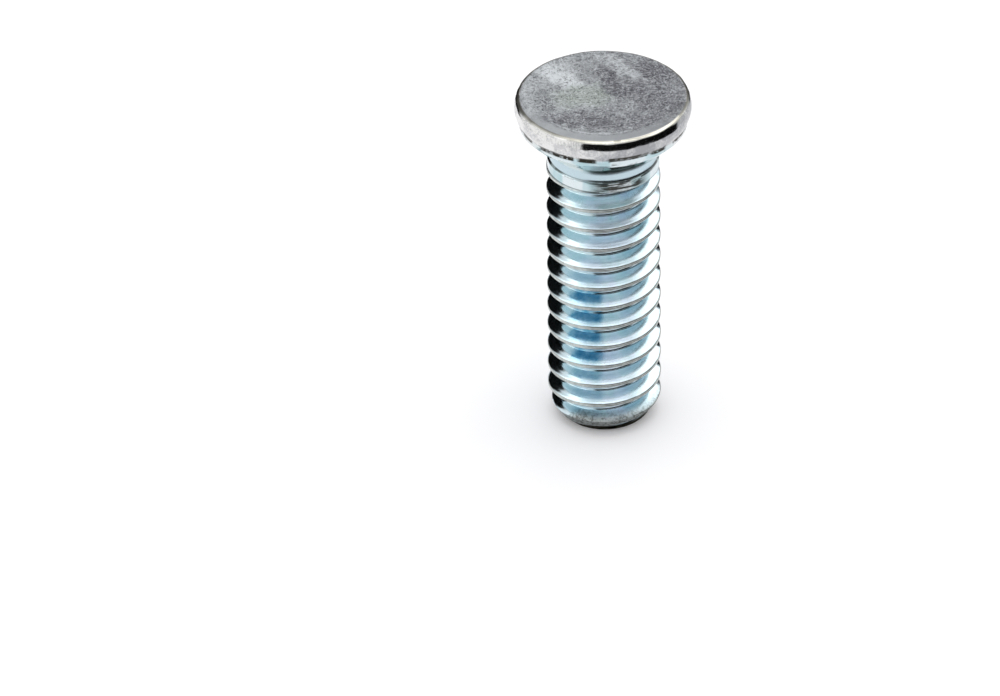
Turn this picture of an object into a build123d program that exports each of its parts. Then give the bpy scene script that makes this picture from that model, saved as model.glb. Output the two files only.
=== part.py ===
"""Self-clinching stud, one piece: clinch head, locking ribs, clinch groove and rolled thread.

The stud stands on its flat tip, centred on the Z axis, with its head at the top.
All lengths are in millimetres and all angles in degrees.
"""

import os
from math import atan, ceil, cos, degrees, radians, tan

from build123d import *

# ---------------------------------------------------------------- driving dimensions

# overall sizes; every other diameter is a step in or out from one of the two here
stud_length = 19.05  # from the seat under the rim to the tip
head_thickness = 1.27  # from the seat to the top of the head
head_diameter = 9.65
major_diameter = 6.22  # over the thread's crests

# head: a round, bulged rim with a slightly dished top face; steps are radial
face_step = 0.255  # from the widest place in to the edge of the face
dish_step = 0.67  # from the face's edge in to the edge of the dish
dish_depth = 0.05
dish_edge_depth = 0.03
rim_bulge_height = 0.66  # height above the seat where the rim is widest
seat_step = 0.275  # from the widest place in to the rim's sharp lower edge
rim_corner_step = 0.065  # from the widest place in to where the edge rounds over
rim_corner_drop = 0.22  # and down to it from the face

# clinch ring under the head: a hub with ribs, and pockets between the ribs
rib_count = 7
hub_step = 0.34  # from the thread's crests out to the hub
hub_depth = 1.23  # the hub's lower edge, below the seat
rib_end_step = 0.05  # from the seat's edge in to the ribs' outer ends
rib_end_depth = 0.28
rib_shoulder_share = 0.476  # of the way from the hub to the ribs' outer ends
rib_shoulder_rise = 0.30  # above the hub's lower edge
rib_tip_share = 0.267
rib_tip_rise = 0.05
rib_turn = -9.0  # from the front, -Y, to the middle of the first rib
pocket_wall_step = 0.10  # from the seat's edge in to the pockets' outer ends
pocket_angle = 27.0  # width of a pocket at its floor
pocket_draft = 16.0  # slope of each side wall
pocket_floor_rise = 0.06  # the floor's outer edge, above the seat
pocket_floor_drop = 0.26  # the floor's inner edge, below the seat

# groove and plain neck below the ring, down to the band that the thread runs out on
groove_step = 0.23  # from the thread's crests in to the groove's wall
groove_drop = 0.18  # from the hub's lower edge down to the groove's wall
groove_wall = 0.25
neck_step = 0.15
neck_drop = 0.25  # from the groove's wall down to the neck
neck_length = 0.47
band_step = 0.05
band_chamfer = 0.10
band_length = 0.56

# rolled right-hand thread
pitch = 1.27
thread_depth_share = 0.614  # of the pitch
crest_flat_share = 0.126  # of the pitch
flank_angle = 30.0  # from square to the axis
runout_gap = 0.21  # from the band down to where the groove starts to fade, at +X
runout_turns = 0.55
runout_climb = 1.12  # of the thread's depth, so that the groove ends off the shank
mouth_gap_share = 0.3  # of the crest flat, kept between turns of the groove's cutter
start_turns = 0.5  # the cutter starts at least this far below the tip

# tip: a flat end, a small bevelled edge and a bulged taper up to the thread
tip_step = 0.73  # from the thread's crests in to the corner of the tip
tip_edge = 0.12
tip_edge_flare = 0.05  # from the tip's corner out to the top of the small edge
taper_height = 1.25
taper_bulge = 0.07

# ---------------------------------------------------------------- derived sizes

seat_z = stud_length
top_z = seat_z + head_thickness
head_radius = head_diameter / 2
face_radius = head_radius - face_step
dish_radius = face_radius - dish_step
seat_radius = head_radius - seat_step
pocket_wall_radius = seat_radius - pocket_wall_step

major_radius = major_diameter / 2
hub_radius = major_radius + hub_step
rib_end_radius = seat_radius - rib_end_step
rib_reach = rib_end_radius - hub_radius
groove_radius = major_radius - groove_step
neck_radius = major_radius - neck_step
band_radius = major_radius - band_step

hub_z = seat_z - hub_depth
groove_top_z = hub_z - groove_drop
groove_foot_z = groove_top_z - groove_wall
neck_top_z = groove_foot_z - neck_drop
neck_foot_z = neck_top_z - neck_length
band_top_z = neck_foot_z - band_chamfer
band_foot_z = band_top_z - band_length
runout_z = band_foot_z - runout_gap

clear = head_diameter  # cutters reach this far out from the axis
front = -90.0  # the front is at -Y

# ---------------------------------------------------------------- thread groove

thread_depth = thread_depth_share * pitch
crest_flat = crest_flat_share * pitch
root_radius = major_radius - thread_depth
flank_slope = tan(radians(flank_angle))
root_half = (pitch - crest_flat) / 2 - thread_depth * flank_slope
# the cutter's mouth is a little proud of the crests, and narrower than one pitch
mouth_half = (pitch - mouth_gap_share * crest_flat) / 2
mouth_radius = root_radius + (mouth_half - root_half) / flank_slope

full_turns = ceil(runout_z / pitch + start_turns)
start_z = runout_z - full_turns * pitch
# the run-out climbs a cone until the groove has left the shank
runout_angle = degrees(atan(runout_climb * thread_depth / (runout_turns * pitch)))


def groove_section():
    """Draw the groove's section, with its root on the root radius."""
    Polygon(
        (root_radius, -root_half),
        (mouth_radius, -mouth_half),
        (mouth_radius, mouth_half),
        (root_radius, root_half),
        align=None,
    )


with BuildPart() as full_groove:
    with BuildLine() as full_path:
        Helix(pitch, full_turns * pitch, root_radius, center=(0, 0, start_z))
    with BuildSketch(Plane((0, 0, start_z), x_dir=(1, 0, 0), z_dir=(0, -1, 0))):
        groove_section()
    sweep(path=full_path.line, is_frenet=True)

with BuildPart() as groove_runout:
    with BuildLine() as runout_path:
        Helix(
            pitch / cos(radians(runout_angle)),
            runout_turns * pitch,
            root_radius,
            center=(0, 0, runout_z),
            cone_angle=runout_angle,
        )
    with BuildSketch(Plane((0, 0, runout_z), x_dir=(1, 0, 0), z_dir=(0, -1, 0))):
        groove_section()
    sweep(path=runout_path.line, is_frenet=True)

# ---------------------------------------------------------------- shank

with BuildPart() as tip_trim:
    # everything outside the small bevelled edge and the bulged taper
    tip_radius = major_radius - tip_step
    with BuildSketch(Plane.YZ):
        with BuildLine():
            edge_start = (tip_radius - tip_edge, 0)
            edge_end = (tip_radius + tip_edge_flare, tip_edge)
            taper_end = (major_radius, taper_height)
            SagittaArc(edge_end, taper_end, -taper_bulge)
            Polyline(
                taper_end,
                (clear, taper_height),
                (clear, -pitch),
                (tip_radius - tip_edge, -pitch),
                edge_start,
                edge_end,
            )
        make_face()
    revolve(axis=Axis.Z)

with BuildPart() as neck_trim:
    # everything outside the neck and the band above the thread
    with BuildSketch(Plane.YZ):
        Polygon(
            (major_radius, band_foot_z),
            (band_radius, band_foot_z + band_step),
            (band_radius, band_top_z),
            (neck_radius, neck_foot_z),
            (neck_radius, neck_top_z),
            (clear, neck_top_z),
            (clear, band_foot_z),
            align=None,
        )
    revolve(axis=Axis.Z)

with BuildPart() as shank:
    Cylinder(major_radius, neck_top_z, align=(Align.CENTER, Align.CENTER, Align.MIN))
    add(full_groove.part, mode=Mode.SUBTRACT)
    add(groove_runout.part, mode=Mode.SUBTRACT)
    add(tip_trim.part, mode=Mode.SUBTRACT)
    add(neck_trim.part, mode=Mode.SUBTRACT)

# ---------------------------------------------------------------- pockets between the ribs

with BuildPart() as pockets:
    # a ring with a conical floor, outside the hub, cut into sectors with sloping sides
    floor_high = seat_z + pocket_floor_rise
    with BuildSketch(Plane.YZ):
        Polygon(
            (hub_radius, seat_z - pocket_floor_drop),
            (pocket_wall_radius, floor_high),
            (pocket_wall_radius, seat_z),
            (clear, seat_z),
            (clear, neck_foot_z),
            (hub_radius, neck_foot_z),
            align=None,
        )
    revolve(axis=Axis.Z)
    with BuildSketch(Plane.XY.offset(floor_high)):
        widening = tan(radians(pocket_angle / 2))
        inner = major_radius
        outer = clear + head_thickness
        with PolarLocations(0, rib_count, start_angle=front + rib_turn + 180 / rib_count):
            Polygon(
                (inner, -inner * widening),
                (outer, -outer * widening),
                (outer, outer * widening),
                (inner, inner * widening),
                align=None,
            )
    extrude(amount=neck_foot_z - floor_high, taper=-pocket_draft, mode=Mode.INTERSECT)

# ---------------------------------------------------------------- head

with BuildPart() as head:
    with BuildSketch(Plane.YZ):
        with BuildLine():
            # groove, then the clinch ring at the section of a rib
            seat_edge = (seat_radius, seat_z)
            Polyline(
                (0, top_z - dish_depth),
                (0, neck_top_z),
                (neck_radius, neck_top_z),
                (groove_radius, groove_foot_z),
                (groove_radius, groove_top_z),
                (hub_radius, hub_z),
                (hub_radius + rib_tip_share * rib_reach, hub_z + rib_tip_rise),
                (hub_radius + rib_shoulder_share * rib_reach, hub_z + rib_shoulder_rise),
                (rib_end_radius, seat_z - rib_end_depth),
                (rib_end_radius, seat_z),
                seat_edge,
            )
            # bulged rim, its rounded top edge and the dished face
            rim_middle = (head_radius, seat_z + rim_bulge_height)
            rim_corner = (head_radius - rim_corner_step, top_z - rim_corner_drop)
            face_edge = (face_radius, top_z)
            TangentArc(rim_middle, seat_edge, tangent=(0, -1))
            rim_side = TangentArc(rim_middle, rim_corner, tangent=(0, 1))
            TangentArc(rim_corner, face_edge, tangent=rim_side % 1)
            Polyline(
                face_edge,
                (dish_radius, top_z - dish_edge_depth),
                (0, top_z - dish_depth),
            )
        make_face()
    revolve(axis=Axis.Z)
    add(pockets.part, mode=Mode.SUBTRACT)

# ---------------------------------------------------------------- the stud

with BuildPart() as stud:
    add(shank.part)
    add(head.part)

stud.part.label = "stud"
os.makedirs("parts", exist_ok=True)
export_step(stud.part, "parts/stud.step")
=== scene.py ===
"""Self-clinching stud in zinc-plated steel, standing on its tip on a white table.

The stud is modelled in millimetres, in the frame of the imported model, and scaled to
metres at the end. Heights are measured from the tip, and the front is at -Y. The
finishes are laid out by heights and radii in millimetres, and by degrees round the
axis from the front towards +X.
"""

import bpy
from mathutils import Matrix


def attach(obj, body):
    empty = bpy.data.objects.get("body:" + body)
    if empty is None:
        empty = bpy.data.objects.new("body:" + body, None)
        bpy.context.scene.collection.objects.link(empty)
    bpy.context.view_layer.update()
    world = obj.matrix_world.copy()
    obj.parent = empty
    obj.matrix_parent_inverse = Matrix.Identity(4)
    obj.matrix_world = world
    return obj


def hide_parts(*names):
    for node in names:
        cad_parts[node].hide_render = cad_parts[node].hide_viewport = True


bl_info = {
    "name": "Self-clinching stud",
    "version": (1, 0, 0),
    "blender": (4, 5, 0),
    "location": "View3D > Sidebar > Stud",
    "description": "Builds a zinc-plated self-clinching stud and the table it stands on",
    "category": "Object",
}

from math import atan2, ceil, cos, degrees, hypot, pi, radians, sin, tan
from types import SimpleNamespace

import bmesh
import bpy
from mathutils import Matrix, Vector, noise

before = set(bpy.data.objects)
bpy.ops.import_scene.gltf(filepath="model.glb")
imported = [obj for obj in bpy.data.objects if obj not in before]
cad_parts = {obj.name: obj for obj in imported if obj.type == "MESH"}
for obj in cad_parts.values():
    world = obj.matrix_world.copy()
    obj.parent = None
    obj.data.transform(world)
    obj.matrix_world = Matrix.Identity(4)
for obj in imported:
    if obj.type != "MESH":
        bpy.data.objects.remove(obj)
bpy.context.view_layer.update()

MM = 0.001  # metres in a millimetre

# ---------------------------------------- mesh and small forms

COLUMNS = 28  # columns of faces from one rib to the next
RIB_COLUMNS = 8  # of these, from a rib's middle to its edge
FLANK_PARTS = 7  # rows of faces down a flank of the thread
BASE_RINGS = 3  # rings of faces on the flat end of the tip
MERGE = 0.002  # millimetres within which two points are one
KEYS = 1 / MERGE  # steps in a millimetre, to which rows of points are rounded
PRESSED_ANGLE = 28  # edges of the ring that turn more than this, in degrees, are rounded
SHARP_ANGLE = 50  # edges that turn more than this, in degrees, stay crisp

# crest of the thread: half flats out from its middle, and how far in, in seam depths
SEAM = ((0.0, 1.0), (0.35, 0.2), (0.75, 0.0))
# its rounded shoulder: half flats out from its middle, and how far in, in thread depths
SHOULDER = ((1.2, 0.03), (1.7, 0.09), (2.3, 0.2))
FLANK_FOOT = 0.16  # how far out of the root the flanks end, in thread depths
# rounded root: shares of the way to the flank, and how far out, in thread depths
ROOT = ((0.72, 0.08), (0.40, 0.02))

# unevenness: size in millimetres, waves in a millimetre, and how far it leans inwards
ALL_OVER = (0.006, 0.9, 0.0)
RIM_WAVES = ((0.03, 0.8, 0.3), (0.025, 1.9, 0.0))
FACE_WAVES = ((0.012, 0.7, 0.5), (0.006, 2.1, 0.0))
TAPER_WAVE = (0.02, 3.0, 0.0)
BAND_WAVE = (0.012, 1.0, 0.5)
BAND_LINES = 12  # how much closer the band's waves lie along the axis than round it

# ---------------------------------------- finishes

# grain of the finishes: noise waves in a millimetre, detail, roughness and distortion
GRAIN = SimpleNamespace(
    fine=(9.0, 3.0, 0.6),
    ring_patches=(1.4, 3.0, 0.6),
    ring_spots=(2.4, 3.0, 0.6),
    rim_shade=(0.9, 3.0, 0.5),
    rim_stains=(1.7, 4.0, 0.65),
    crest_spots=(4.0, 3.0, 0.6),
    rubbing=(3.0, 3.0, 0.6),
    ragged=(3.2, 3.0, 0.6),
    wear=(2.1, 3.0, 0.6),
    streaks=(1.0, 4.0, 0.7),
    tip_grit=(6.5, 3.0, 0.65),
    wander=(0.9, 4.0, 0.65),
    drawn=(1.0, 4.0, 0.65),
    teal=(0.45, 4.0, 0.6),
    mauve=(0.8, 3.0, 0.6),
    deep_clouds=(2.6, 4.0, 0.7),
    face_clouds=(0.9, 5.0, 0.65),
    scratches=(3.4, 6.0, 0.75, 1.6),
    pits=(10.0, 4.0, 0.75),
)

# sectors that a finish covers: its two ends and the softness of each, in degrees
SECTOR = SimpleNamespace(
    mauve=(-28.0, 34.0, 12.0),
    deep=(-45.0, -5.0, 5.0),
    dark_corner=(24.0, 66.0, 9.0),
    smooth_border=(-62.0, 50.0, 25.0),
    dish_arc=(-46.0, 16.0, 14.0),
    # the face's edge is a painted highlight in the sector on the next line
    edge_highlight=(-20.0, 62.0, 16.0),
    # the next three sectors place painted shade: dashes under the rim's edge and a faint line round
    # the neck's foot
    thick_dashes=(2.0, 34.0, 5.0),
    mid_rib=(-9.0, 3.5, 1.5),
    faint_line=(-48.0, -8.0, 8.0),
    scuffs=(-10.0, 46.0, 9.0),
    soft_flank=(-30.0, 60.0, 8.0),
    rough_root=(36.0, 78.0, 6.0),
)

# how much of what lies under it a finish covers
COVER = SimpleNamespace(
    crest=0.9,
    olive=0.85,
    mauve=0.5,
    dark_corner=0.2,
    groove=0.78,
    neck_line=0.95,
    foot_line=0.6,
    streaks=0.95,
    taper=0.85,
    edge=0.85,
    face_shade=0.8,
    face_clouds=0.2,
    dark_dots=0.75,
    pale_dots=0.55,
    rings=0.2,
    dish_arc=0.55,
    border=0.6,
    smoothing=0.75,
)

# roughness of the finishes; a pair is spread over the grain
ROUGH = SimpleNamespace(
    plating=(0.07, 0.15),
    rim=(0.09, 0.15),
    face=(0.52, 0.36),
    face_border=0.34,
    upper_turns=0.28,
    crest=0.30,
    root=0.20,
    flank=0.27,
    edge_dull=0.36,
    edge_bright=0.10,
    scuffs=0.34,
    taper=0.48,
)

# relief of the finishes, as shares of the bump's height
RELIEF = SimpleNamespace(plating=0.10, taper=0.35, border=0.25, face=1.2)
BUMP_HEIGHT = 0.02  # millimetres
BUMP_STRENGTH = 0.6

# patches of the pressed face: centre and half sizes in millimetres, lean in degrees,
# cover and colour
FACE_PATCHES = (
    ((-2.2, 1.9), (1.5, 0.6), -41, 0.95, "face_pale"),
    ((-2.6, 3.0), (1.2, 0.5), -20, 0.4, "face_pale"),
    ((1.3, 2.6), (1.7, 0.45), -52, 0.6, "face_pale"),
    ((-1.0, 0.1), (1.7, 1.0), 10, 0.6, "face_green"),
    ((0.45, 1.9), (0.6, 1.2), 15, 0.9, "face_dark"),
    ((1.0, 0.4), (1.1, 0.6), -30, 0.85, "face_dark"),
    ((2.7, 0.0), (0.9, 1.8), 25, 0.65, "face_dark"),
    ((2.8, 2.3), (1.1, 0.7), -50, 0.8, "face_dark"),
    ((-1.2, -2.4), (2.4, 0.7), -6, 0.75, "face_dark"),
    ((1.6, -2.6), (1.6, 0.6), 10, 0.5, "face_dark"),
    ((-3.1, -0.4), (0.5, 1.0), 0, 0.5, "face_dark"),
)
# painted reflection: the face darkens towards the right
FACE_FADE = 4.2  # the face darkens from this far left of the axis to this far right
FACE_WARP = 1.6  # reach in millimetres, and waves in a millimetre, of its patches' drift

# ---------------------------------------- studio

# panels that the metal reflects: azimuth of the middle from the back towards +X, half
# width, lower and upper edge and softness, in degrees, and brightness
STUDIO_PANELS = (
    (-90, 90, 64, 100, 4, 1.2),  # overhead, left half
    (90, 90, 64, 100, 4, 1.0),  # overhead, right half
    (0, 14, 20, 50, 8, 0.34),  # grey card behind
    (-34, 21, -30, 40, 4, 0.0),  # black flag behind, to the left
    (146, 64, 0, 37, 6, 0.0),  # black flag in front, to the right
    (142, 68, -30, 12, 6, 0.0),  # its lower part
    (60, 50, 32, 60, 9, 1.9),  # softbox, high on the right
    (42, 16, 12, 40, 6, 1.9),  # softbox behind, to the right
    (178, 60, 56, 84, 5, 1.7),  # softbox, high in front
    (-96, 28, 26, 62, 6, 2.0),  # softbox on the left
    (25, 11, -30, 24, 1.5, 0.0),  # narrow flag behind, to the right
)
OPEN_STUDIO = 0.95  # brightness of the studio between the panels
STUDIO_LIGHT = 0.9  # brightness of the even light on matt surfaces
TABLE_LIFT = 0.12  # what the table adds for the eye alone
TABLE_HALF = 0.05  # metres
TABLE_DROP = 0.02  # millimetres from the tip down to the table
STUD_MIDDLE = (0, 0, 0.01)  # metres; the light is aimed at it

CAMERA_PLACE = (-0.00573, -0.50121, 0.33987)  # metres
CAMERA_TILT = 33.83  # degrees down from level
CAMERA_ROLL = -0.682  # degrees
CAMERA_LENS = 395.14  # millimetres
SENSOR_WIDTH = 36  # millimetres


# ---------------------------------------- properties


def length(name, value, description):
    """Make a length property from a value in millimetres."""
    return bpy.props.FloatProperty(
        name=name, description=description, default=value * MM, precision=6, unit="LENGTH"
    )


def angle(name, value, description):
    """Make an angle property from a value in degrees."""
    return bpy.props.FloatProperty(
        name=name, description=description, default=radians(value), unit="ROTATION"
    )


def share(name, value, description):
    """Make a plain number property."""
    return bpy.props.FloatProperty(name=name, description=description, default=value)


def colour(name, value, description):
    """Make a colour property from its linear red, green and blue."""
    return bpy.props.FloatVectorProperty(
        name=name, description=description, default=value, size=3, subtype="COLOR", min=0, max=1
    )


class StudLengths(bpy.types.PropertyGroup):
    """Lengths of the stud."""

    stud_length: length("Length", 19.05, "From the seat under the rim to the tip")
    head_thickness: length("Head thickness", 1.27, "From the seat to the top of the head")
    head_diameter: length("Head diameter", 9.65, "Where the rim is widest")
    major_diameter: length("Thread diameter", 6.22, "Over the crests")
    face_step: length("Face step", 0.255, "From the widest place in to the face")
    dish_step: length("Dish step", 0.67, "From the face's edge in to the dish")
    dish_depth: length("Dish depth", 0.05, "At the centre of the face")
    dish_edge_depth: length("Dish edge depth", 0.03, "At the edge of the dish")
    rim_bulge_height: length("Rim bulge height", 0.66, "Where the rim is widest, above the seat")
    seat_step: length("Seat step", 0.20, "From the widest place in to the rim's lower edge")
    rim_corner_step: length("Rim corner step", 0.065, "From the widest place in to the corner")
    rim_corner_drop: length("Rim corner drop", 0.22, "From the face down to the corner")
    hub_step: length("Hub step", 0.34, "From the crests out to the hub")
    hub_depth: length("Hub depth", 1.23, "The hub's lower edge, below the seat")
    rib_end_step: length("Rib end step", 0.03, "From the seat's edge in to the ribs")
    rib_end_depth: length("Rib end depth", 0.32, "Foot of the ribs' outer ends, below the seat")
    rib_shoulder_rise: length("Rib shoulder rise", 0.30, "Above the hub's lower edge")
    rib_tip_rise: length("Rib tip rise", 0.05, "Above the hub's lower edge")
    pocket_wall_step: length("Pocket wall step", 0.10, "From the seat's edge in to the pockets")
    pocket_floor_rise: length("Pocket floor rise", 0.06, "Outer edge, above the seat")
    pocket_floor_drop: length("Pocket floor drop", 0.26, "Inner edge, below the seat")
    groove_step: length("Groove step", 0.23, "From the crests in to the groove's wall")
    groove_drop: length("Groove drop", 0.18, "From the hub down to the groove's wall")
    groove_wall: length("Groove wall", 0.25, "Height of the groove's wall")
    neck_step: length("Neck step", 0.15, "From the crests in to the neck")
    neck_drop: length("Neck drop", 0.25, "From the groove's wall down to the neck")
    neck_length: length("Neck length", 0.47, "Height of the neck")
    band_step: length("Band step", 0.05, "From the crests in to the band")
    band_chamfer: length("Band chamfer", 0.10, "Height of the slope from neck to band")
    band_length: length("Band length", 0.56, "Height of the band above the thread")
    pitch: length("Pitch", 1.27, "From one turn of the thread to the next")
    runout_gap: length("Run-out gap", 0.21, "From the band down to where the groove fades")
    tip_step: length("Tip step", 0.73, "From the crests in to the tip's corner")
    tip_edge: length("Tip edge", 0.12, "Height of the small edge of the tip")
    tip_edge_flare: length("Tip edge flare", 0.05, "From the corner out to the edge's top")
    taper_height: length("Taper height", 1.25, "From the tip to the full thread")
    taper_bulge: length("Taper bulge", 0.07, "How far the taper bulges")
    seam_depth: length("Seam depth", 0.02, "Depth of the rolled seam along the crests")
    flank_crown: length("Flank crown", 0.02, "How far the thread's flanks bulge")
    worn_edge: length("Worn edge", 0.03, "Width of the rounding of the pressed edges")


class StudShape(bpy.types.PropertyGroup):
    """Counts, angles and proportions of the stud."""

    rib_count: bpy.props.IntProperty(name="Ribs", description="Ribs in the ring", default=7)
    rib_turn: angle("Rib turn", -9, "From the front to the middle of the first rib")
    rib_shoulder_share: share("Rib shoulder", 0.476, "Of the way from hub to rib end")
    rib_tip_share: share("Rib tip", 0.267, "Of the way from hub to rib end")
    pocket_angle: angle("Pocket angle", 27, "Width of a pocket at its floor")
    pocket_draft: angle("Pocket draft", 16, "Slope of a pocket's side walls")
    thread_depth: share("Thread depth", 0.614, "In pitches")
    crest_flat: share("Crest flat", 0.126, "In pitches")
    flank_angle: angle("Flank angle", 30, "From square to the axis")
    runout_turns: share("Run-out turns", 0.55, "Turns over which the groove fades")
    runout_climb: share("Run-out climb", 1.12, "In thread depths")


class StudFinish(bpy.types.PropertyGroup):
    """Colours of the stud."""

    rim_white: colour("Rim white", (0.84, 0.84, 0.83), "Bright plating on the head's rim")
    rim_dull: colour("Rim dull", (0.35, 0.36, 0.375), "Duller plating on the head's rim")
    ring_pale: colour("Ring pale", (0.84, 0.90, 0.92), "Bright facets of the ring")
    ring_teal: colour("Ring teal", (0.42, 0.62, 0.66), "Film on the ring and neck")
    neck_blue: colour("Neck blue", (0.56, 0.70, 0.76), "Film on the neck")
    film_pale: colour("Film pale", (0.64, 0.76, 0.815), "Thin film on the thread")
    film_teal: colour("Film teal", (0.52, 0.70, 0.75), "Thicker film on the thread")
    film_mauve: colour("Film mauve", (0.64, 0.71, 0.84), "Faint mauve cast of the film")
    film_deep: colour("Film deep", (0.09, 0.31, 0.47), "Thickest film, low on the front")
    olive: colour("Olive", (0.12, 0.125, 0.10), "Edges of the crests, rubbed by handling")
    crest_pale: colour("Crest pale", (0.64, 0.67, 0.64), "Crests where they are less rubbed")
    face_grey: colour("Face grey", (0.45, 0.47, 0.49), "Dull pressed face")
    face_pale: colour("Face pale", (0.85, 0.89, 0.92), "Paler patches of the face")
    face_dark: colour("Face dark", (0.15, 0.15, 0.175), "Darker patches of the face")
    face_green: colour("Face green", (0.47, 0.54, 0.48), "Faint green cast of the face")
    # the face's edge colour is a painted highlight in front and a darker copy of it elsewhere
    edge_gold: colour("Edge gold", (0.72, 0.70, 0.60), "Thin bright edge of the face")
    # the groove's dark teal is painted shade in the recess, tinted like the film
    groove_shade_teal: colour("Groove teal", (0.16, 0.28, 0.27), "Dark film in the groove")
    # this dark colour paints real dirt and grit, and painted shade under the rim and round the
    # neck's foot and a painted contact shadow at the tip
    grime_and_shade: colour("Grime", (0.03, 0.027, 0.02), "Dark residue in the corners")
    table_white: colour("Table white", (0.86, 0.855, 0.87), "Table top")


def in_mm(lengths):
    """Give a group of lengths as plain numbers in millimetres, with the radii and heights."""
    s = SimpleNamespace(**{name: getattr(lengths, name) / MM for name in lengths.__annotations__})
    s.seat_z = s.stud_length
    s.top_z = s.seat_z + s.head_thickness
    s.head_r = s.head_diameter / 2
    s.face_r = s.head_r - s.face_step
    s.seat_r = s.head_r - s.seat_step
    s.crest_r = s.major_diameter / 2
    s.hub_r = s.crest_r + s.hub_step
    s.rib_end_r = s.seat_r - s.rib_end_step
    s.groove_r = s.crest_r - s.groove_step
    s.neck_r = s.crest_r - s.neck_step
    s.band_r = s.crest_r - s.band_step
    s.corner_r = s.crest_r - s.tip_step
    s.tip_r = s.corner_r - s.tip_edge
    s.hub_z = s.seat_z - s.hub_depth
    s.groove_top_z = s.hub_z - s.groove_drop
    s.groove_foot_z = s.groove_top_z - s.groove_wall
    s.neck_top_z = s.groove_foot_z - s.neck_drop
    s.neck_foot_z = s.neck_top_z - s.neck_length
    s.band_top_z = s.neck_foot_z - s.band_chamfer
    s.band_foot_z = s.band_top_z - s.band_length
    s.runout_z = s.band_foot_z - s.runout_gap
    s.floor_high = s.seat_z + s.pocket_floor_rise
    return s


# ---------------------------------------- drawing a section


def run(bm, pen, r, z, parts=1):
    """Draw a straight run from the pen to radius r and height z, in equal parts."""
    step = (Vector((r, 0, z)) - pen.co) / parts
    for _ in range(parts):
        place = pen.co + step
        pen = bmesh.ops.extrude_vert_indiv(bm, verts=[pen])["verts"][0]
        pen.co = place
    return pen


def curve(bm, pen, r, z, heading, parts):
    """Draw an arc that leaves the pen on a heading and ends at radius r and height z."""
    chord = Vector((r - pen.co.x, z - pen.co.z))
    lean = atan2(chord.y, chord.x) - heading
    radius = chord.length / (2 * sin(lean))
    centre = (pen.co.x - radius * sin(heading), 0, pen.co.z + radius * cos(heading))
    made = bmesh.ops.spin(
        bm,
        geom=[pen],
        cent=centre,
        axis=(0, -1, 0),
        angle=2 * lean,
        steps=parts,
        use_merge=False,
    )
    ends = [item for item in made["geom_last"] if isinstance(item, bmesh.types.BMVert)]
    return ends[0], heading + 2 * lean


def turn(bm, steps, rise=0.0):
    """Turn the drawn section once about the axis, climbing by rise over the turn."""
    bmesh.ops.spin(
        bm,
        geom=bm.verts[:] + bm.edges[:],
        cent=(0, 0, 0),
        axis=(0, 0, 1),
        dvec=(0, 0, rise / steps),
        angle=2 * pi,
        steps=steps,
        use_merge=rise == 0,
    )
    bmesh.ops.remove_doubles(bm, verts=bm.verts, dist=MERGE)


# ---------------------------------------- head


def ring_rows(s, shape):
    """Pair each point of a rib's section with the point of the pocket beside it."""
    reach = s.rib_end_r - s.hub_r
    wall_r = s.seat_r - s.pocket_wall_step
    floor_low = s.seat_z - s.pocket_floor_drop
    hub_third = (floor_low + 2 * s.hub_z) / 3
    shoulder = (s.hub_r + shape.rib_shoulder_share * reach, s.hub_z + s.rib_shoulder_rise)
    rib_tip = (s.hub_r + shape.rib_tip_share * reach, s.hub_z + s.rib_tip_rise)
    # each corner of the rib, the pocket's point beside it, and the parts up to them
    corners = (
        ((s.seat_r, s.seat_z), (s.seat_r, s.seat_z), 0),
        ((s.rib_end_r, s.seat_z), (wall_r, s.seat_z), 1),
        ((s.rib_end_r, s.seat_z - s.rib_end_depth), (wall_r, s.floor_high), 2),
        (shoulder, (s.hub_r, floor_low), 5),
        (rib_tip, (s.hub_r, hub_third), 3),
        ((s.hub_r, s.hub_z), (s.hub_r, s.hub_z), 2),
    )
    rows = []
    for (rib_a, pocket_a, _), (rib_b, pocket_b, parts) in zip(corners, corners[1:]):
        for part in range(1, parts + 1):
            rib = Vector(rib_a).lerp(Vector(rib_b), part / parts)
            pocket = Vector(pocket_a).lerp(Vector(pocket_b), part / parts)
            rows.append((rib, pocket))
    return corners, rows


def row_key(r, z):
    """Name a row of points by its rounded radius and height."""
    return (round(r * KEYS), round(z * KEYS))


def press_pockets(bm, s, shape, rows):
    """Push the points between the ribs in to the pockets' floor and the hub's wall."""
    places = {row_key(*rib): (rib, pocket) for rib, pocket in rows}
    sector = 2 * pi / shape.rib_count
    first_rib = shape.rib_turn - pi / 2
    first_column = round(first_rib / sector * COLUMNS)
    half = COLUMNS // 2

    def edge(r, z):
        """Half the angle of a pocket at a radius and height, with its sloping walls."""
        return shape.pocket_angle / 2 + tan(shape.pocket_draft) * (s.floor_high - z) / r

    for vert in bm.verts:
        place = places.get(row_key(hypot(vert.co.x, vert.co.y), vert.co.z))
        if place is None:
            continue
        rib, pocket = place
        column = round(atan2(vert.co.y, vert.co.x) / sector * COLUMNS) - first_column
        rib_index = column // COLUMNS
        step = column % COLUMNS
        side = 1
        if step > half:
            step = COLUMNS - step
            side = -1
            rib_index += 1
        if step <= RIB_COLUMNS:
            r, z = rib
            offset = (sector / 2 - edge(r, z)) * step / RIB_COLUMNS
        else:
            r, z = pocket
            offset = sector / 2 - edge(r, z) * (half - step) / (half - RIB_COLUMNS - 1)
        theta = first_rib + rib_index * sector + side * offset
        vert.co = (r * cos(theta), r * sin(theta), z)


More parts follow.
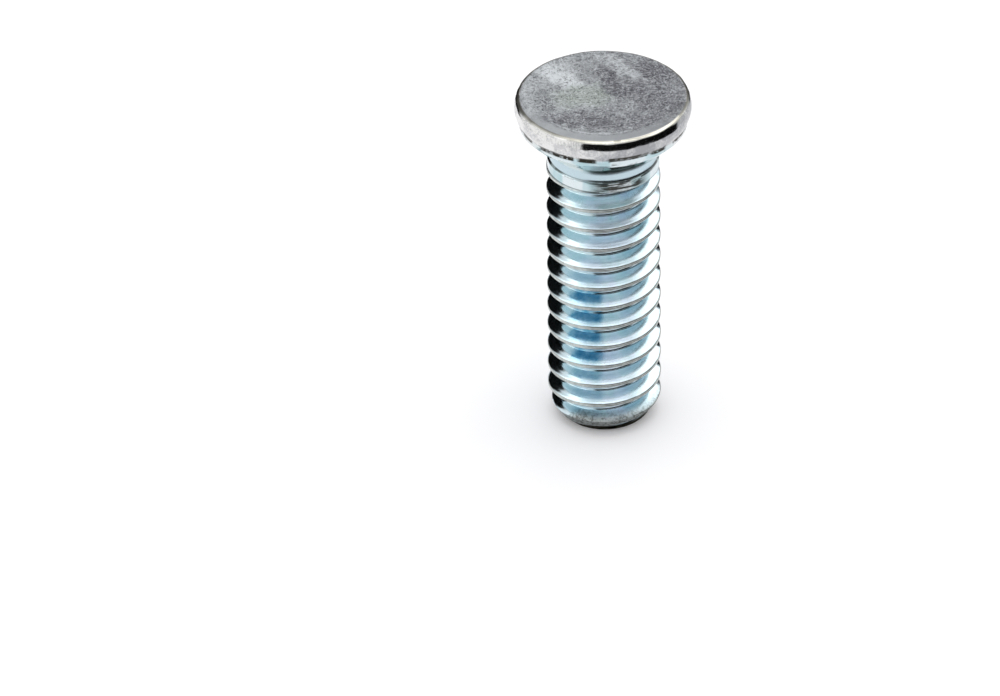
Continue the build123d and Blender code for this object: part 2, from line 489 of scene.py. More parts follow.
def make_head(s, shape):
    """Turn the head, ring, groove and neck, and press the pockets into the ring."""
    bm = bmesh.new()
    middle = bm.verts.new((s.head_r, 0, s.seat_z + s.rim_bulge_height))
    corner_r = s.head_r - s.rim_corner_step
    pen, heading = curve(bm, middle, corner_r, s.top_z - s.rim_corner_drop, pi / 2, 4)
    pen, heading = curve(bm, pen, s.face_r, s.top_z, heading, 6)
    pen = run(bm, pen, s.face_r - s.dish_step, s.top_z - s.dish_edge_depth, 5)
    run(bm, pen, 0, s.top_z - s.dish_depth, 24)

    pen, heading = curve(bm, middle, s.seat_r, s.seat_z, -pi / 2, 6)
    corners, rows = ring_rows(s, shape)
    for (r, z), _, parts in corners[1:]:
        pen = run(bm, pen, r, z, parts)
    for r, z, parts in (
        (s.groove_r, s.groove_top_z, 4),
        (s.groove_r, s.groove_foot_z, 2),
        (s.neck_r, s.neck_top_z, 2),
        (s.neck_r, s.neck_foot_z, 4),
        (s.band_r, s.band_top_z, 2),
        (s.band_r, s.band_foot_z, 8),
    ):
        pen = run(bm, pen, r, z, parts)

    turn(bm, COLUMNS * shape.rib_count)
    press_pockets(bm, s, shape, rows)
    bmesh.ops.recalc_face_normals(bm, faces=bm.faces)
    edges = [
        e
        for e in bm.edges
        if len(e.link_faces) == 2
        and e.calc_face_angle() > radians(PRESSED_ANGLE)
        and s.hub_z - MERGE < min(v.co.z for v in e.verts)
        and max(v.co.z for v in e.verts) < s.floor_high + MERGE
    ]
    bmesh.ops.bevel(
        bm,
        geom=edges,
        offset=s.worn_edge,
        offset_type="OFFSET",
        segments=2,
        profile=0.5,
        affect="EDGES",
        clamp_overlap=True,
        material=-1,
    )
    return bm


# ---------------------------------------- shank


def thread_section(s, shape):
    """List the thread's section over one pitch, from crest to crest, about its groove."""
    depth = shape.thread_depth * s.pitch
    root_r = s.crest_r - depth
    crest_half = shape.crest_flat * s.pitch / 2
    crest_middle = s.pitch / 2
    side = [
        (crest_middle - out * crest_half, s.crest_r - sink * full)
        for points, full in ((SEAM, s.seam_depth), (SHOULDER, depth))
        for out, sink in points
    ]

    foot = FLANK_FOOT * depth
    flank_foot = crest_middle - crest_half - tan(shape.flank_angle) * (depth - foot)
    top = Vector(side[-1])
    outwards = Vector((-cos(shape.flank_angle), sin(shape.flank_angle)))
    for part in range(1, FLANK_PARTS + 1):
        along = part / FLANK_PARTS
        crown = 4 * s.flank_crown * along * (1 - along)
        side.append(tuple(top.lerp(Vector((flank_foot, root_r + foot)), along) + crown * outwards))
    side += [(share_out * flank_foot, root_r + lift * depth) for share_out, lift in ROOT]
    return [(-z, r) for z, r in side] + [(0.0, root_r)] + [(z, r) for z, r in reversed(side)]


def taper_radius(s, z):
    """Radius of the bulged taper and its small edge at a height near the tip."""
    if z <= 0:
        return s.tip_r
    if z < s.tip_edge:
        return s.tip_r + (s.tip_edge_flare + s.tip_edge) * z / s.tip_edge
    if z > s.taper_height:
        return s.crest_r
    share_up = (z - s.tip_edge) / (s.taper_height - s.tip_edge)
    start_r = s.corner_r + s.tip_edge_flare
    bulge = 4 * s.taper_bulge * share_up * (1 - share_up)
    return start_r + (s.crest_r - start_r) * share_up + bulge


def crest_radius(s, z):
    """Radius over the crests, which steps in to the band."""
    step = min(max(s.band_foot_z - z, 0), s.band_step)
    return s.band_r + step


def make_shank(s, shape):
    """Roll the thread as a helix, fade its groove under the band and trim the tip."""
    turns_below = ceil(s.runout_z / s.pitch + 1)
    turns_above = 2
    bm = bmesh.new()
    pen = None
    for offset, r in thread_section(s, shape):
        z = s.runout_z - turns_below * s.pitch + offset
        pen = run(bm, pen, r, z) if pen else bm.verts.new((r, 0, z))
    turn(bm, COLUMNS * shape.rib_count, rise=s.pitch)
    first_turn = bm.verts[:] + bm.edges[:] + bm.faces[:]
    for count in range(1, turns_below + turns_above):
        copied = bmesh.ops.duplicate(bm, geom=first_turn)["geom"]
        points = [item for item in copied if isinstance(item, bmesh.types.BMVert)]
        bmesh.ops.translate(bm, vec=(0, 0, count * s.pitch), verts=points)
    bmesh.ops.remove_doubles(bm, verts=bm.verts, dist=MERGE)

    full_climb = shape.runout_climb * shape.thread_depth * s.pitch
    for vert in bm.verts:
        x, y, z = vert.co
        theta = atan2(y, x)
        around = theta / (2 * pi)
        turns_up = around + round((z - s.runout_z) / s.pitch - around)
        fade = min(max(turns_up / shape.runout_turns, 0), 1)
        r = min(hypot(x, y) + fade * full_climb, crest_radius(s, z), taper_radius(s, z))
        if z > s.band_foot_z - MERGE:
            r, z = s.band_r, s.band_foot_z
        vert.co = (r * cos(theta), r * sin(theta), max(z, 0))
    bmesh.ops.remove_doubles(bm, verts=bm.verts, dist=MERGE)
    bmesh.ops.dissolve_degenerate(bm, edges=bm.edges, dist=MERGE / 2)

    foot = [e for e in bm.edges if e.is_boundary and max(v.co.z for v in e.verts) < MERGE]
    base = bmesh.ops.contextual_create(bm, geom=foot)["faces"]
    for _ in range(BASE_RINGS):
        bmesh.ops.inset_region(bm, faces=base, thickness=s.crest_r / (2 * BASE_RINGS))
    bmesh.ops.poke(bm, faces=base)
    return bm


# ---------------------------------------- wear


def swell(place, size, waves, lean):
    """Height of an unevenness at a place, of a size and with so many waves in a millimetre."""
    return size * (noise.noise(place * waves) - lean)


def wear(bm, s):
    """Give the stud the small unevenness of pressed and rolled metal, always inwards."""
    bm.normal_update()
    moves = []
    for vert in bm.verts:
        place = vert.co
        out = hypot(place.x, place.y)
        move = swell(place, *ALL_OVER)
        if place.z > s.seat_z and out > s.face_r:
            move = sum(swell(place, *wave) for wave in RIM_WAVES)
        if place.z > s.top_z - s.rim_corner_drop and out < s.face_r:
            move = sum(swell(place, *wave) for wave in FACE_WAVES)
        if 0 < place.z < s.taper_height:
            move += swell(place, *TAPER_WAVE) * (1 - place.z / s.taper_height)
        if s.band_foot_z + MERGE < place.z < s.band_top_z - MERGE:
            move = swell(Vector((place.x, place.y, BAND_LINES * place.z)), *BAND_WAVE)
        moves.append(min(move, 0))
    for vert, move in zip(bm.verts, moves):
        if vert.co.z > MERGE:
            vert.co = vert.co + vert.normal * move


# ---------------------------------------- nodes


def add(tree, kind, inputs=None, **settings):
    """Add a node, with its settings and the values or links of its inputs."""
    node = tree.nodes.new(kind)
    for name, value in settings.items():
        setattr(node, name, value)
    for name, value in (inputs or {}).items():
        if isinstance(value, bpy.types.NodeSocket):
            tree.links.new(value, node.inputs[name])
        else:
            node.inputs[name].default_value = value
    return node


def tree_of(*values):
    """Give the node tree of the first socket among some values."""
    return next(value.id_data for value in values if isinstance(value, bpy.types.NodeSocket))


def maths(operation, *values):
    """Work out one value from one, two or three."""
    node = add(tree_of(*values), "ShaderNodeMath", dict(enumerate(values)), operation=operation)
    return node.outputs[0]


def times(first, *others):
    """Multiply values together."""
    for value in others:
        first = maths("MULTIPLY", first, value)
    return first


def total(first, *others):
    """Add values together."""
    for value in others:
        first = maths("ADD", first, value)
    return first


def most(first, *others):
    """Give the largest of some values."""
    for value in others:
        first = maths("MAXIMUM", first, value)
    return first


def vector_maths(operation, a, b):
    """Work out one vector from two."""
    return add(a.id_data, "ShaderNodeVectorMath", {0: a, 1: b}, operation=operation).outputs[0]


def measured(place):
    """Give the distance of a place from the origin."""
    node = add(place.id_data, "ShaderNodeVectorMath", {0: place}, operation="LENGTH")
    return node.outputs["Value"]


def ramp(value, low, high, to_low=0.0, to_high=1.0):
    """Map a value smoothly from one range to another."""
    node = add(
        value.id_data,
        "ShaderNodeMapRange",
        {"Value": value, "From Min": low, "From Max": high, "To Min": to_low, "To Max": to_high},
        interpolation_type="SMOOTHSTEP",
    )
    return node.outputs["Result"]


def band(value, low, high, soft):
    """Mark the values between two limits, with soft ends."""
    rise = ramp(value, low - soft, low + soft)
    fall = ramp(value, high + soft, high - soft)
    return times(rise, fall)


def blend(factor, a, b):
    """Mix two colours by a factor."""
    node = add(factor.id_data, "ShaderNodeMix", {"Factor": factor}, data_type="RGBA")
    for socket, value in ((node.inputs[6], a), (node.inputs[7], b)):
        if isinstance(value, bpy.types.NodeSocket):
            factor.id_data.links.new(value, socket)
        else:
            socket.default_value = (*value, 1)
    return node.outputs[2]


def pick(factor, a, b):
    """Mix two plain values by a factor."""
    inputs = {"Factor": factor, "A": a, "B": b}
    return add(factor.id_data, "ShaderNodeMix", inputs, data_type="FLOAT").outputs[0]


def speckle(place, scale, detail, rough, distortion=0.0):
    """Give a noise value at a scale in waves in a millimetre."""
    grain = {"Scale": scale, "Detail": detail, "Roughness": rough, "Distortion": distortion}
    return add(place.id_data, "ShaderNodeTexNoise", {"Vector": place, **grain}).outputs["Fac"]


def spread(grain, low, high):
    """Spread a noise value over a range."""
    return ramp(grain, 0.3, 0.7, low, high)


def stretched(place, x, y, z):
    """Give the place with each of its directions scaled."""
    inputs = {"Vector": place, "Scale": (x, y, z)}
    return add(place.id_data, "ShaderNodeMapping", inputs).outputs[0]


def drifted(place, reach, waves):
    """Give a flat place moved sideways by a wandering amount."""
    inputs = {"Vector": place, "Scale": waves, "Detail": 4.0}
    wander = add(place.id_data, "ShaderNodeTexNoise", inputs).outputs["Color"]
    shift = vector_maths("SUBTRACT", wander, (0.5, 0.5, 0.5))
    shift = vector_maths("MULTIPLY", shift, (reach, reach, 0))
    return vector_maths("ADD", place, shift)


def blot(place, centre, reach, lean):
    """Mark an oval patch seen from above: 1 in its middle, 0 outside its reach."""
    moved = add(
        place.id_data,
        "ShaderNodeMapping",
        {
            "Vector": place,
            "Location": (*centre, 0),
            "Rotation": (0, 0, radians(lean)),
            "Scale": (*reach, 1),
        },
        vector_type="TEXTURE",
    ).outputs[0]
    return ramp(measured(moved), 1.5, 0.5)


def shade(tint, factor):
    """Give a colour made darker or lighter by a factor."""
    return tuple(factor * part for part in tint)


def new_material(name):
    """Make a material with an empty node tree."""
    material = bpy.data.materials.new(name)
    material.use_nodes = True
    material.node_tree.nodes.clear()
    return material, material.node_tree


# ---------------------------------------- zinc plating


def guides(tree, s, shape):
    """Give the places, heights and angles that the finishes are laid out by."""
    at = SimpleNamespace()
    coords = add(tree, "ShaderNodeTexCoord").outputs["Object"]
    at.place = stretched(coords, 1 / MM, 1 / MM, 1 / MM)
    parts = add(tree, "ShaderNodeSeparateXYZ", {"Vector": at.place}).outputs
    at.right = parts["X"]
    at.height = parts["Z"]
    at.flat = add(tree, "ShaderNodeCombineXYZ", {"X": parts["X"], "Y": parts["Y"]}).outputs[0]
    at.radius = measured(at.flat)
    forward = maths("MULTIPLY", parts["Y"], -1.0)
    at.around = maths("DEGREES", maths("ARCTAN2", parts["X"], forward))
    # degrees from the middle of the nearest rib
    at.half_sector = 180 / shape.rib_count
    from_first = maths("SUBTRACT", at.around, round(degrees(shape.rib_turn)))
    at.from_rib = maths("WRAP", from_first, at.half_sector, -at.half_sector)
    at.off_rib = maths("ABSOLUTE", at.from_rib)
    # share of a pitch up from the middle of a root; the crest is at one half, and the
    # helix starts at +X, a quarter turn from the front
    climb = maths("DIVIDE", maths("SUBTRACT", at.height, s.runout_z), s.pitch)
    across = maths("SUBTRACT", climb, maths("DIVIDE", at.around, 360.0))
    at.across = maths("WRAP", maths("ADD", across, 0.25), 1.0, 0.0)
    at.fine = speckle(at.place, *GRAIN.fine)
    return at


def mark_regions(at, s):
    """Mark where each finish lies: on the face, its edge, the rim, shank, crests and taper."""
    at.on_face = times(
        ramp(at.height, s.top_z - 0.12, s.top_z - 0.055),
        ramp(at.radius, s.face_r + 0.03, s.face_r - 0.06),
    )
    at.on_edge = times(
        ramp(at.radius, s.face_r - 0.08, s.face_r),
        ramp(at.height, s.top_z - 0.16, s.top_z - 0.05),
    )
    # painted highlight: the sector where the face's edge is bright; elsewhere the edge gets a
    # darker copy of its colour
    at.edge_highlight = band(at.around, *SECTOR.edge_highlight)
    at.on_rim = ramp(at.height, s.seat_z - 0.1, s.seat_z + 0.1)
    at.on_shank = ramp(at.height, s.band_foot_z + 0.06, s.band_foot_z - 0.06)
    at.on_crest = times(at.on_shank, ramp(at.radius, s.crest_r - 0.04, s.crest_r - 0.01))
    # the taper's dull finish ends lower on the left
    lower_left = ramp(at.around, -25.0, -60.0, 0.0, 0.6)
    at.on_taper = times(
        ramp(total(at.height, lower_left), 1.5, 1.0),
        ramp(at.radius, s.corner_r, s.corner_r + 0.05),
    )
    at.streaks = speckle(stretched(at.place, 0.9, 0.9, 9.0), *GRAIN.streaks)
    at.scuffed = times(
        band(at.height, s.band_foot_z + 0.05, s.band_top_z - 0.02, 0.04),
        band(at.around, *SECTOR.scuffs),
    )


def ring_plating(finish, at, s):
    """Colour of the ring and neck: pale and teal facets, whiter and spotted at the sides."""
    patchy = ramp(speckle(at.place, *GRAIN.ring_patches), 0.35, 0.65)
    on_rib = ramp(at.off_rib, at.half_sector - 11.0, at.half_sector - 14.0, 0.25, 0.85)
    film = times(on_rib, ramp(patchy, 0.0, 1.0, 1.0, 0.7))
    ring = blend(film, finish.ring_pale, finish.ring_teal)
    sideways = times(
        ramp(maths("ABSOLUTE", at.around), 34.0, 60.0, 0.0, 0.8),
        ramp(at.height, s.hub_z + 0.3, s.hub_z + 0.6),
    )
    spots = ramp(speckle(at.place, *GRAIN.ring_spots), 0.44, 0.34)
    worn_ring = blend(spots, finish.rim_white, shade(finish.rim_dull, 0.4))
    ring = blend(sideways, ring, worn_ring)
    on_neck = times(
        ramp(at.height, s.neck_top_z + 0.15, s.neck_top_z),
        ramp(at.height, s.band_top_z, s.neck_foot_z),
    )
    return blend(on_neck, ring, finish.neck_blue)


def rim_plating(finish, at):
    """Colour of the rim: white on the left and duller on the right as painted shade, with random
    dull patches and stains.
    """
    # painted shade: the rim darkens from left to right round the axis, with random patches on top
    dull = total(
        ramp(at.around, -32.0, 30.0),
        spread(at.fine, -0.25, 0.25),
        spread(speckle(at.place, *GRAIN.rim_shade), -0.35, 0.35),
    )
    rim = blend(dull, finish.rim_white, finish.rim_dull)
    stains = ramp(speckle(at.place, *GRAIN.rim_stains), 0.50, 0.38, 0.0, 0.45)
    return blend(stains, rim, finish.rim_dull)


def thread_film(finish, at, s):
    """Colour of the film on the thread: pale blue, teal in the roots and deep blue low in front."""
    wander = maths("SUBTRACT", speckle(at.place, *GRAIN.wander), 0.5)
    drawn = speckle(stretched(at.place, 3.0, 3.0, 0.35), *GRAIN.drawn)
    teal = ramp(speckle(at.place, *GRAIN.teal), 0.42, 0.6)
    rooted = ramp(at.radius, s.crest_r - 0.15, s.crest_r - 0.6)
    thick = total(times(teal, 0.45), times(rooted, 0.35), ramp(drawn, 0.38, 0.62, -0.2, 0.2))
    film = blend(thick, finish.film_pale, finish.film_teal)
    mauve = speckle(stretched(at.place, 1.0, 1.0, 0.4), *GRAIN.mauve)
    mauve = times(ramp(mauve, 0.42, 0.6), band(at.around, *SECTOR.mauve))
    film = blend(times(mauve, COVER.mauve), film, finish.film_mauve)
    # the deep film is strongest half way down and fades above and below, with wavy limits
    sector = band(total(at.around, times(wander, 22.0)), *SECTOR.deep)
    level = total(at.height, times(wander, 1.6))
    strong = times(sector, band(level, 4.3, 9.8, 0.5))
    faint = times(sector, band(level, 1.0, 10.8, 0.7), 0.35)
    cloudy = ramp(speckle(at.place, *GRAIN.deep_clouds), 0.3, 0.65, 1.0, 0.6)
    inner = ramp(at.radius, s.crest_r - 0.12, s.crest_r - 0.35, 0.35, 1.0)
    deep = times(most(strong, faint), cloudy, inner)
    film = blend(deep, film, finish.film_deep)
    corner = times(band(at.around, *SECTOR.dark_corner), rooted, COVER.dark_corner)
    return blend(corner, film, finish.film_deep)


def rubbed_crests(finish, at, plated):
    """Add the crests' worn metal, with an olive line along each of their edges."""
    spots = ramp(speckle(at.place, *GRAIN.crest_spots), 0.35, 0.65)
    crest = blend(spots, shade(finish.crest_pale, 0.75), finish.crest_pale)
    plated = blend(times(at.on_crest, COVER.crest), plated, crest)
    rubbed = times(
        most(band(at.across, 0.38, 0.43, 0.02), band(at.across, 0.555, 0.59, 0.02)),
        ramp(speckle(at.place, *GRAIN.rubbing), 0.3, 0.5, 0.5, 1.0),
        ramp(at.around, -50.0, -10.0, 0.4, 1.0),
        at.on_shank,
        COVER.olive,
    )
    return blend(rubbed, plated, finish.olive)


def residue_and_painted_shade(at, s):
    """Mark the dark marks: painted shade under the rim and round the neck's foot, a dark line round
    the band's foot, dirty streaks on the band, grit on the taper and a painted contact shadow at
    the tip.
    """
    # noise that breaks up the painted shade lines
    broken_up = ramp(speckle(at.place, *GRAIN.wear), 0.36, 0.50, 0.6, 1.0)
    # dashes of painted shade under the rim's edge along the seat, at the pockets and the ribs'
    # middles
    thick_dash = times(band(at.around, *SECTOR.thick_dashes), 0.10)
    level = maths("SUBTRACT", at.height, thick_dash)
    in_pocket = ramp(at.off_rib, at.half_sector - 14.5, at.half_sector - 13.0)
    dashes = times(
        band(level, s.seat_z - 0.16, s.seat_z + 0.16, 0.04),
        ramp(at.radius, s.seat_r - 0.3, s.seat_r - 0.2),
        ramp(speckle(at.place, *GRAIN.ragged), 0.30, 0.42),
        most(in_pocket, band(at.from_rib, *SECTOR.mid_rib)),
        broken_up,
    )
    # painted shade in the inner corner at the neck's foot
    neck_line = times(
        band(at.height, s.band_top_z + 0.01, s.neck_foot_z + 0.02, 0.03),
        ramp(band(at.around, *SECTOR.faint_line), 0.0, 1.0, 0.9, 0.5),
        broken_up,
        COVER.neck_line,
    )
    foot_line = band(at.height, s.band_foot_z - 0.03, s.band_foot_z + 0.05, 0.03)
    streaky = times(at.scuffed, ramp(at.streaks, 0.62, 0.48, 0.25, 1.0), COVER.streaks)
    tip_grit = ramp(speckle(at.place, *GRAIN.tip_grit), 0.55, 0.38, 0.0, 0.75)
    # painted contact shadow: the tip's lower corner turns black
    tip_contact_shadow = times(
        ramp(at.height, s.tip_edge + 0.24, s.tip_edge + 0.12),
        ramp(at.radius, s.tip_r - 0.3, s.tip_r - 0.1),
    )
    return most(
        dashes,
        streaky,
        neck_line,
        times(foot_line, COVER.foot_line),
        times(at.on_taper, tip_grit),
        tip_contact_shadow,
    )


def pressed_face(finish, at, s):
    """Colour of the dull pressed face: mottled, grainy, darker to the right as painted reflection,
    with a smoother ring at its edge.
    """
    warped = drifted(at.flat, FACE_WARP, FACE_WARP)
    # painted reflection: the face darkens from left to right
    painted_reflection_fade = ramp(at.right, -FACE_FADE, FACE_FADE, 0.0, COVER.face_shade)
    face = blend(painted_reflection_fade, finish.face_grey, finish.face_dark)
    clouds = ramp(speckle(at.flat, *GRAIN.face_clouds), 0.36, 0.66, 0.0, COVER.face_clouds)
    face = blend(clouds, face, finish.face_pale)
    for centre, reach, lean, cover, tint in FACE_PATCHES:
        mask = times(blot(warped, centre, reach, lean), cover)
        face = blend(mask, face, getattr(finish, tint))

    # the smooth border shows at the front and left, and wears away behind
    smooth = times(
        ramp(at.radius, s.face_r - 0.75, s.face_r - 0.5),
        band(at.around, *SECTOR.smooth_border),
    )
    at.inside = maths("SUBTRACT", 1.0, times(smooth, COVER.smoothing))
    scratches = times(speckle(at.flat, *GRAIN.scratches), 0.6)
    at.grain = total(scratches, times(speckle(warped, *GRAIN.pits), 0.4))
    rings = add(
        warped.id_data,
        "ShaderNodeTexWave",
        {"Vector": warped, "Scale": 1.1, "Distortion": 5.0, "Detail": 3.0, "Detail Scale": 1.5},
        wave_type="RINGS",
        rings_direction="Z",
    ).outputs["Fac"]
    dish_arc = times(
        band(at.radius, s.face_r - 0.84, s.face_r - 0.76, 0.03),
        band(at.around, *SECTOR.dish_arc),
        COVER.dish_arc,
    )
    dark_dots = times(ramp(at.grain, 0.49, 0.43), at.inside, COVER.dark_dots)
    pale_dots = times(ramp(at.grain, 0.51, 0.57), at.inside, COVER.pale_dots)
    rings = times(ramp(rings, 0.75, 1.0), at.inside, COVER.rings)
    border = times(smooth, COVER.border)
    face = blend(dark_dots, face, shade(finish.face_dark, 0.4))
    for mask in (pale_dots, rings, dish_arc):
        face = blend(mask, face, finish.face_pale)
    return blend(border, face, shade(finish.face_grey, 1.45))


def plating_roughness(at, s):
    """Roughness of each finish, from the polished flanks to the dull face."""
    rough = spread(at.fine, *ROUGH.plating)
    upper_turns = times(
        ramp(at.height, s.band_foot_z - 3 * s.pitch, s.band_foot_z - s.pitch),
        ramp(at.around, -50.0, -30.0),
    )
    in_root = times(
        ramp(at.radius, s.crest_r - 0.1, s.crest_r - 0.25),
        band(at.around, *SECTOR.rough_root),
        at.on_shank,
    )
    soft_flank = times(
        band(at.across, 0.60, 0.84, 0.03),
        at.on_shank,
        band(at.around, *SECTOR.soft_flank),
    )
    edge = pick(at.edge_highlight, ROUGH.edge_dull, ROUGH.edge_bright)
    face = pick(at.inside, ROUGH.face_border, spread(at.grain, *ROUGH.face))
    for mask, value in (
        (upper_turns, ROUGH.upper_turns),
        (at.on_crest, ROUGH.crest),
        (in_root, ROUGH.root),
        (soft_flank, ROUGH.flank),
        (at.on_rim, spread(at.fine, *ROUGH.rim)),
        (at.on_edge, edge),
        (at.scuffed, ROUGH.scuffs),
        (at.on_taper, ROUGH.taper),
        (at.on_face, face),
    ):
        rough = pick(mask, rough, value)
    return rough


def plating_relief(at):
    """Fine relief of the plating, the scuffs, the taper and the pressed face."""
    relief = times(at.fine, RELIEF.plating)
    relief = pick(at.scuffed, relief, at.streaks)
    relief = pick(at.on_taper, relief, times(at.fine, RELIEF.taper))
    pressed = times(at.grain, pick(at.inside, RELIEF.border, RELIEF.face))
    inputs = {
        "Height": pick(at.on_face, relief, pressed),
        "Strength": BUMP_STRENGTH,
        "Distance": BUMP_HEIGHT * MM,
    }
    return add(relief.id_data, "ShaderNodeBump", inputs).outputs[0]


def zinc_plating(s, shape, finish):
    """Bright blue-tinted zinc on the thread and ring, dull and mottled on the pressed face."""
    material, tree = new_material("zinc_plating")
    at = guides(tree, s, shape)
    mark_regions(at, s)
    head = blend(at.on_rim, ring_plating(finish, at, s), rim_plating(finish, at))
    plated = blend(at.on_shank, head, thread_film(finish, at, s))
    plated = rubbed_crests(finish, at, plated)
    # painted shade in the groove under the hub, darker towards the right
    groove_shade = times(
        band(at.height, s.groove_foot_z - 0.15, s.hub_z + 0.12, 0.05),
        ramp(at.around, -35.0, 5.0, 0.25, 1.0),
        COVER.groove,
    )
    # painted highlight on the face's edge: full colour in its sector, a darker copy elsewhere
    edge = blend(at.edge_highlight, shade(finish.edge_gold, 0.3), finish.edge_gold)
    for mask, tint in (
        (groove_shade, finish.groove_shade_teal),
        (times(at.on_taper, COVER.taper), shade(finish.crest_pale, 0.44)),
        (residue_and_painted_shade(at, s), finish.grime_and_shade),
        (at.on_face, pressed_face(finish, at, s)),
        (times(at.on_edge, COVER.edge), edge),
    ):
        plated = blend(mask, plated, tint)
    shader = add(
        tree,
        "ShaderNodeBsdfPrincipled",
        {
            "Base Color": plated,
            "Metallic": 1.0,
            "Roughness": plating_roughness(at, s),
            "Normal": plating_relief(at),
        },
    )
    add(tree, "ShaderNodeOutputMaterial", {"Surface": shader.outputs[0]})
    return material


# ---------------------------------------- table and studio


def white_table(finish):
    """White matt table that stays white to the eye and keeps the stud's shadow."""
    material, tree = new_material("white_table")
    seen = add(tree, "ShaderNodeLightPath").outputs["Is Camera Ray"]
    paint = add(tree, "ShaderNodeBsdfDiffuse", {"Color": (*finish.table_white, 1)})
    lift = add(tree, "ShaderNodeEmission", {"Strength": times(seen, TABLE_LIFT)})
    both = add(tree, "ShaderNodeAddShader", {0: paint.outputs[0], 1: lift.outputs[0]})
    add(tree, "ShaderNodeOutputMaterial", {"Surface": both.outputs[0]})
    return material


def panel(azimuth, elevation, middle, half, low, high, soft):
    """Mark the directions of an upright panel, in degrees, with soft edges."""
    away = maths("WRAP", maths("SUBTRACT", azimuth, middle), 180.0, -180.0)
    wide = ramp(maths("ABSOLUTE", away), half + soft, half - soft)
    return times(wide, band(elevation, low, high, soft))


def white_glow(tree, strength):
    """Give a white background of a strength."""
    inputs = {"Color": (1, 1, 1, 1), "Strength": strength}
    return add(tree, "ShaderNodeBackground", inputs).outputs[0]


def mix_shaders(factor, a, b):
    """Mix two shaders by a factor."""
    return add(factor.id_data, "ShaderNodeMixShader", {0: factor, 1: a, 2: b}).outputs[0]


def studio_world():
    """Even studio light, white to the eye, with softboxes and dark flags in reflections."""
    world = bpy.data.worlds.new("studio")
    bpy.context.scene.world = world
    world.use_nodes = True
    tree = world.node_tree
    tree.nodes.clear()
    ray = add(tree, "ShaderNodeTexCoord").outputs["Generated"]
    axes = add(tree, "ShaderNodeSeparateXYZ", {"Vector": ray}).outputs
    # degrees from the back, +Y, towards +X, and degrees above the table
    azimuth = maths("DEGREES", maths("ARCTAN2", axes["X"], axes["Y"]))
    elevation = maths("DEGREES", maths("ARCSINE", axes["Z"]))
    level = OPEN_STUDIO
    for *edges, brightness in STUDIO_PANELS:
        level = pick(panel(azimuth, elevation, *edges), level, brightness)

    mirrored = white_glow(tree, level)
    path = add(tree, "ShaderNodeLightPath").outputs
    eye = most(path["Is Camera Ray"], path["Is Transmission Ray"])
    light = mix_shaders(path["Is Glossy Ray"], white_glow(tree, STUDIO_LIGHT), mirrored)
    whole = mix_shaders(eye, light, white_glow(tree, 1.0))
    add(tree, "ShaderNodeOutputWorld", {"Surface": whole})


def softbox(name, place, size, power):
    """Add a square soft light aimed at the stud, which the metal doesn't mirror."""
    lamp = bpy.data.lights.new(name, "AREA")
    lamp.shape = "SQUARE"
    lamp.size = size
    lamp.energy = power
    obj = bpy.data.objects.new(name, lamp)
    bpy.context.scene.collection.objects.link(obj)
    facing = (Vector(STUD_MIDDLE) - Vector(place)).to_track_quat("-Z", "Y")
    obj.matrix_world = Matrix.Translation(place) @ facing.to_matrix().to_4x4()
    obj.visible_glossy = False


def make_table(finish):
    """Make the table that the stud stands on."""
    bm = bmesh.new()
    bmesh.ops.create_grid(bm, x_segments=1, y_segments=1, size=TABLE_HALF)
    mesh = bpy.data.meshes.new("table")
    bm.to_mesh(mesh)
    bm.free()
    mesh.materials.append(white_table(finish))
    table = bpy.data.objects.new("table", mesh)
    table.location.z = -TABLE_DROP * MM
    bpy.context.scene.collection.objects.link(table)
    return table


def set_camera(scene):
    """Put the camera in front of the stud, tilted down and slightly rolled."""
    lens = bpy.data.cameras.new("camera")
    lens.lens = CAMERA_LENS
    lens.sensor_width = SENSOR_WIDTH
    lens.clip_start = 0.01
    lens.clip_end = 20
    camera = bpy.data.objects.new("camera", lens)
    scene.collection.objects.link(camera)
    tilt = radians(CAMERA_TILT)
    roll = radians(CAMERA_ROLL)
    back = Vector((0, -cos(tilt), sin(tilt)))
    right = Vector((1, 0, 0))
    up = back.cross(right)
    side = cos(roll) * right + sin(roll) * up
    top = cos(roll) * up - sin(roll) * right
    turned = Matrix((side, top, back)).transposed().to_4x4()
    camera.matrix_world = Matrix.Translation(CAMERA_PLACE) @ turned
    scene.camera = camera


# ---------------------------------------- operators


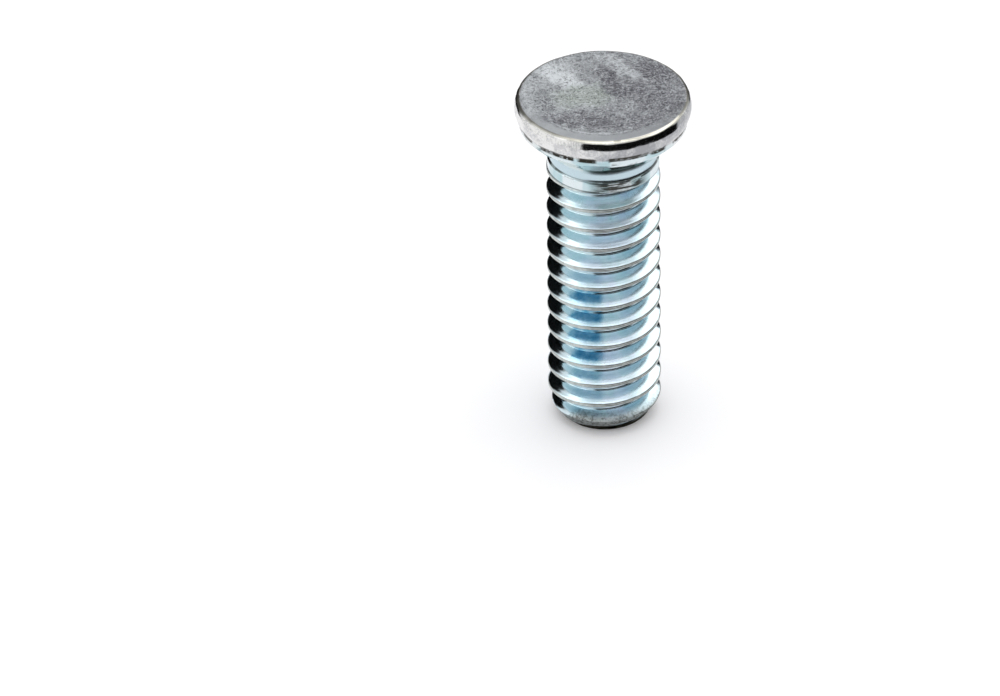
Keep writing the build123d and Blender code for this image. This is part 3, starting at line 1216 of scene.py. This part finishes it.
class STUD_OT_stud(bpy.types.Operator):
    """Build the zinc-plated stud in place of its plain solid"""

    bl_idname = "stud.build_stud"
    bl_label = "Build stud"

    def execute(self, context):
        scene = context.scene
        s = in_mm(scene.stud_lengths)
        shape = scene.stud_shape
        bm = make_head(s, shape)
        shank = make_shank(s, shape)
        carrier = bpy.data.meshes.new("shank_part")
        shank.to_mesh(carrier)
        shank.free()
        bm.from_mesh(carrier)
        bpy.data.meshes.remove(carrier)
        joint = [v for v in bm.verts if abs(v.co.z - s.band_foot_z) < MERGE]
        bmesh.ops.remove_doubles(bm, verts=joint, dist=3 * MERGE)
        bmesh.ops.recalc_face_normals(bm, faces=bm.faces)
        wear(bm, s)
        if not all(e.is_manifold for e in bm.edges):
            raise RuntimeError("the stud's skin is not closed")
        bmesh.ops.scale(bm, vec=(MM, MM, MM), verts=bm.verts)
        mesh = bpy.data.meshes.new("stud_body")
        bm.to_mesh(mesh)
        bm.free()
        mesh.shade_smooth()
        mesh.set_sharp_from_angle(angle=radians(SHARP_ANGLE))
        mesh.materials.append(zinc_plating(s, shape, scene.stud_finish))
        stud = bpy.data.objects.new("stud_body", mesh)
        scene.collection.objects.link(stud)
        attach(stud, "root")
        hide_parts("stud")
        return {"FINISHED"}


class STUD_OT_stage(bpy.types.Operator):
    """Set the white table, the studio light and the camera"""

    bl_idname = "stud.build_stage"
    bl_label = "Build stage"

    def execute(self, context):
        scene = context.scene
        table = make_table(scene.stud_finish)
        studio_world()
        softbox("overhead_light", place=(0.05, 0.05, 0.6), size=0.5, power=1.2)
        set_camera(scene)
        scene.view_settings.view_transform = "Standard"
        return {"FINISHED"}


class STUD_PT_panel(bpy.types.Panel):
    """The stud's sizes, finish and building steps"""

    bl_label = "Stud"
    bl_space_type = "VIEW_3D"
    bl_region_type = "UI"
    bl_category = "Stud"

    def draw(self, context):
        layout = self.layout
        layout.operator(STUD_OT_stud.bl_idname)
        layout.operator(STUD_OT_stage.bl_idname)
        scene = context.scene
        for group in (scene.stud_lengths, scene.stud_shape, scene.stud_finish):
            box = layout.box()
            for name in group.__annotations__:
                box.prop(group, name)


CLASSES = (StudLengths, StudShape, StudFinish, STUD_OT_stud, STUD_OT_stage, STUD_PT_panel)


def register():
    for item in CLASSES:
        bpy.utils.register_class(item)
    bpy.types.Scene.stud_lengths = bpy.props.PointerProperty(type=StudLengths)
    bpy.types.Scene.stud_shape = bpy.props.PointerProperty(type=StudShape)
    bpy.types.Scene.stud_finish = bpy.props.PointerProperty(type=StudFinish)


def unregister():
    del bpy.types.Scene.stud_finish
    del bpy.types.Scene.stud_shape
    del bpy.types.Scene.stud_lengths
    for item in reversed(CLASSES):
        bpy.utils.unregister_class(item)


def main():
    register()
    bpy.ops.stud.build_stud()
    bpy.ops.stud.build_stage()


if __name__ == "__main__":
    main()
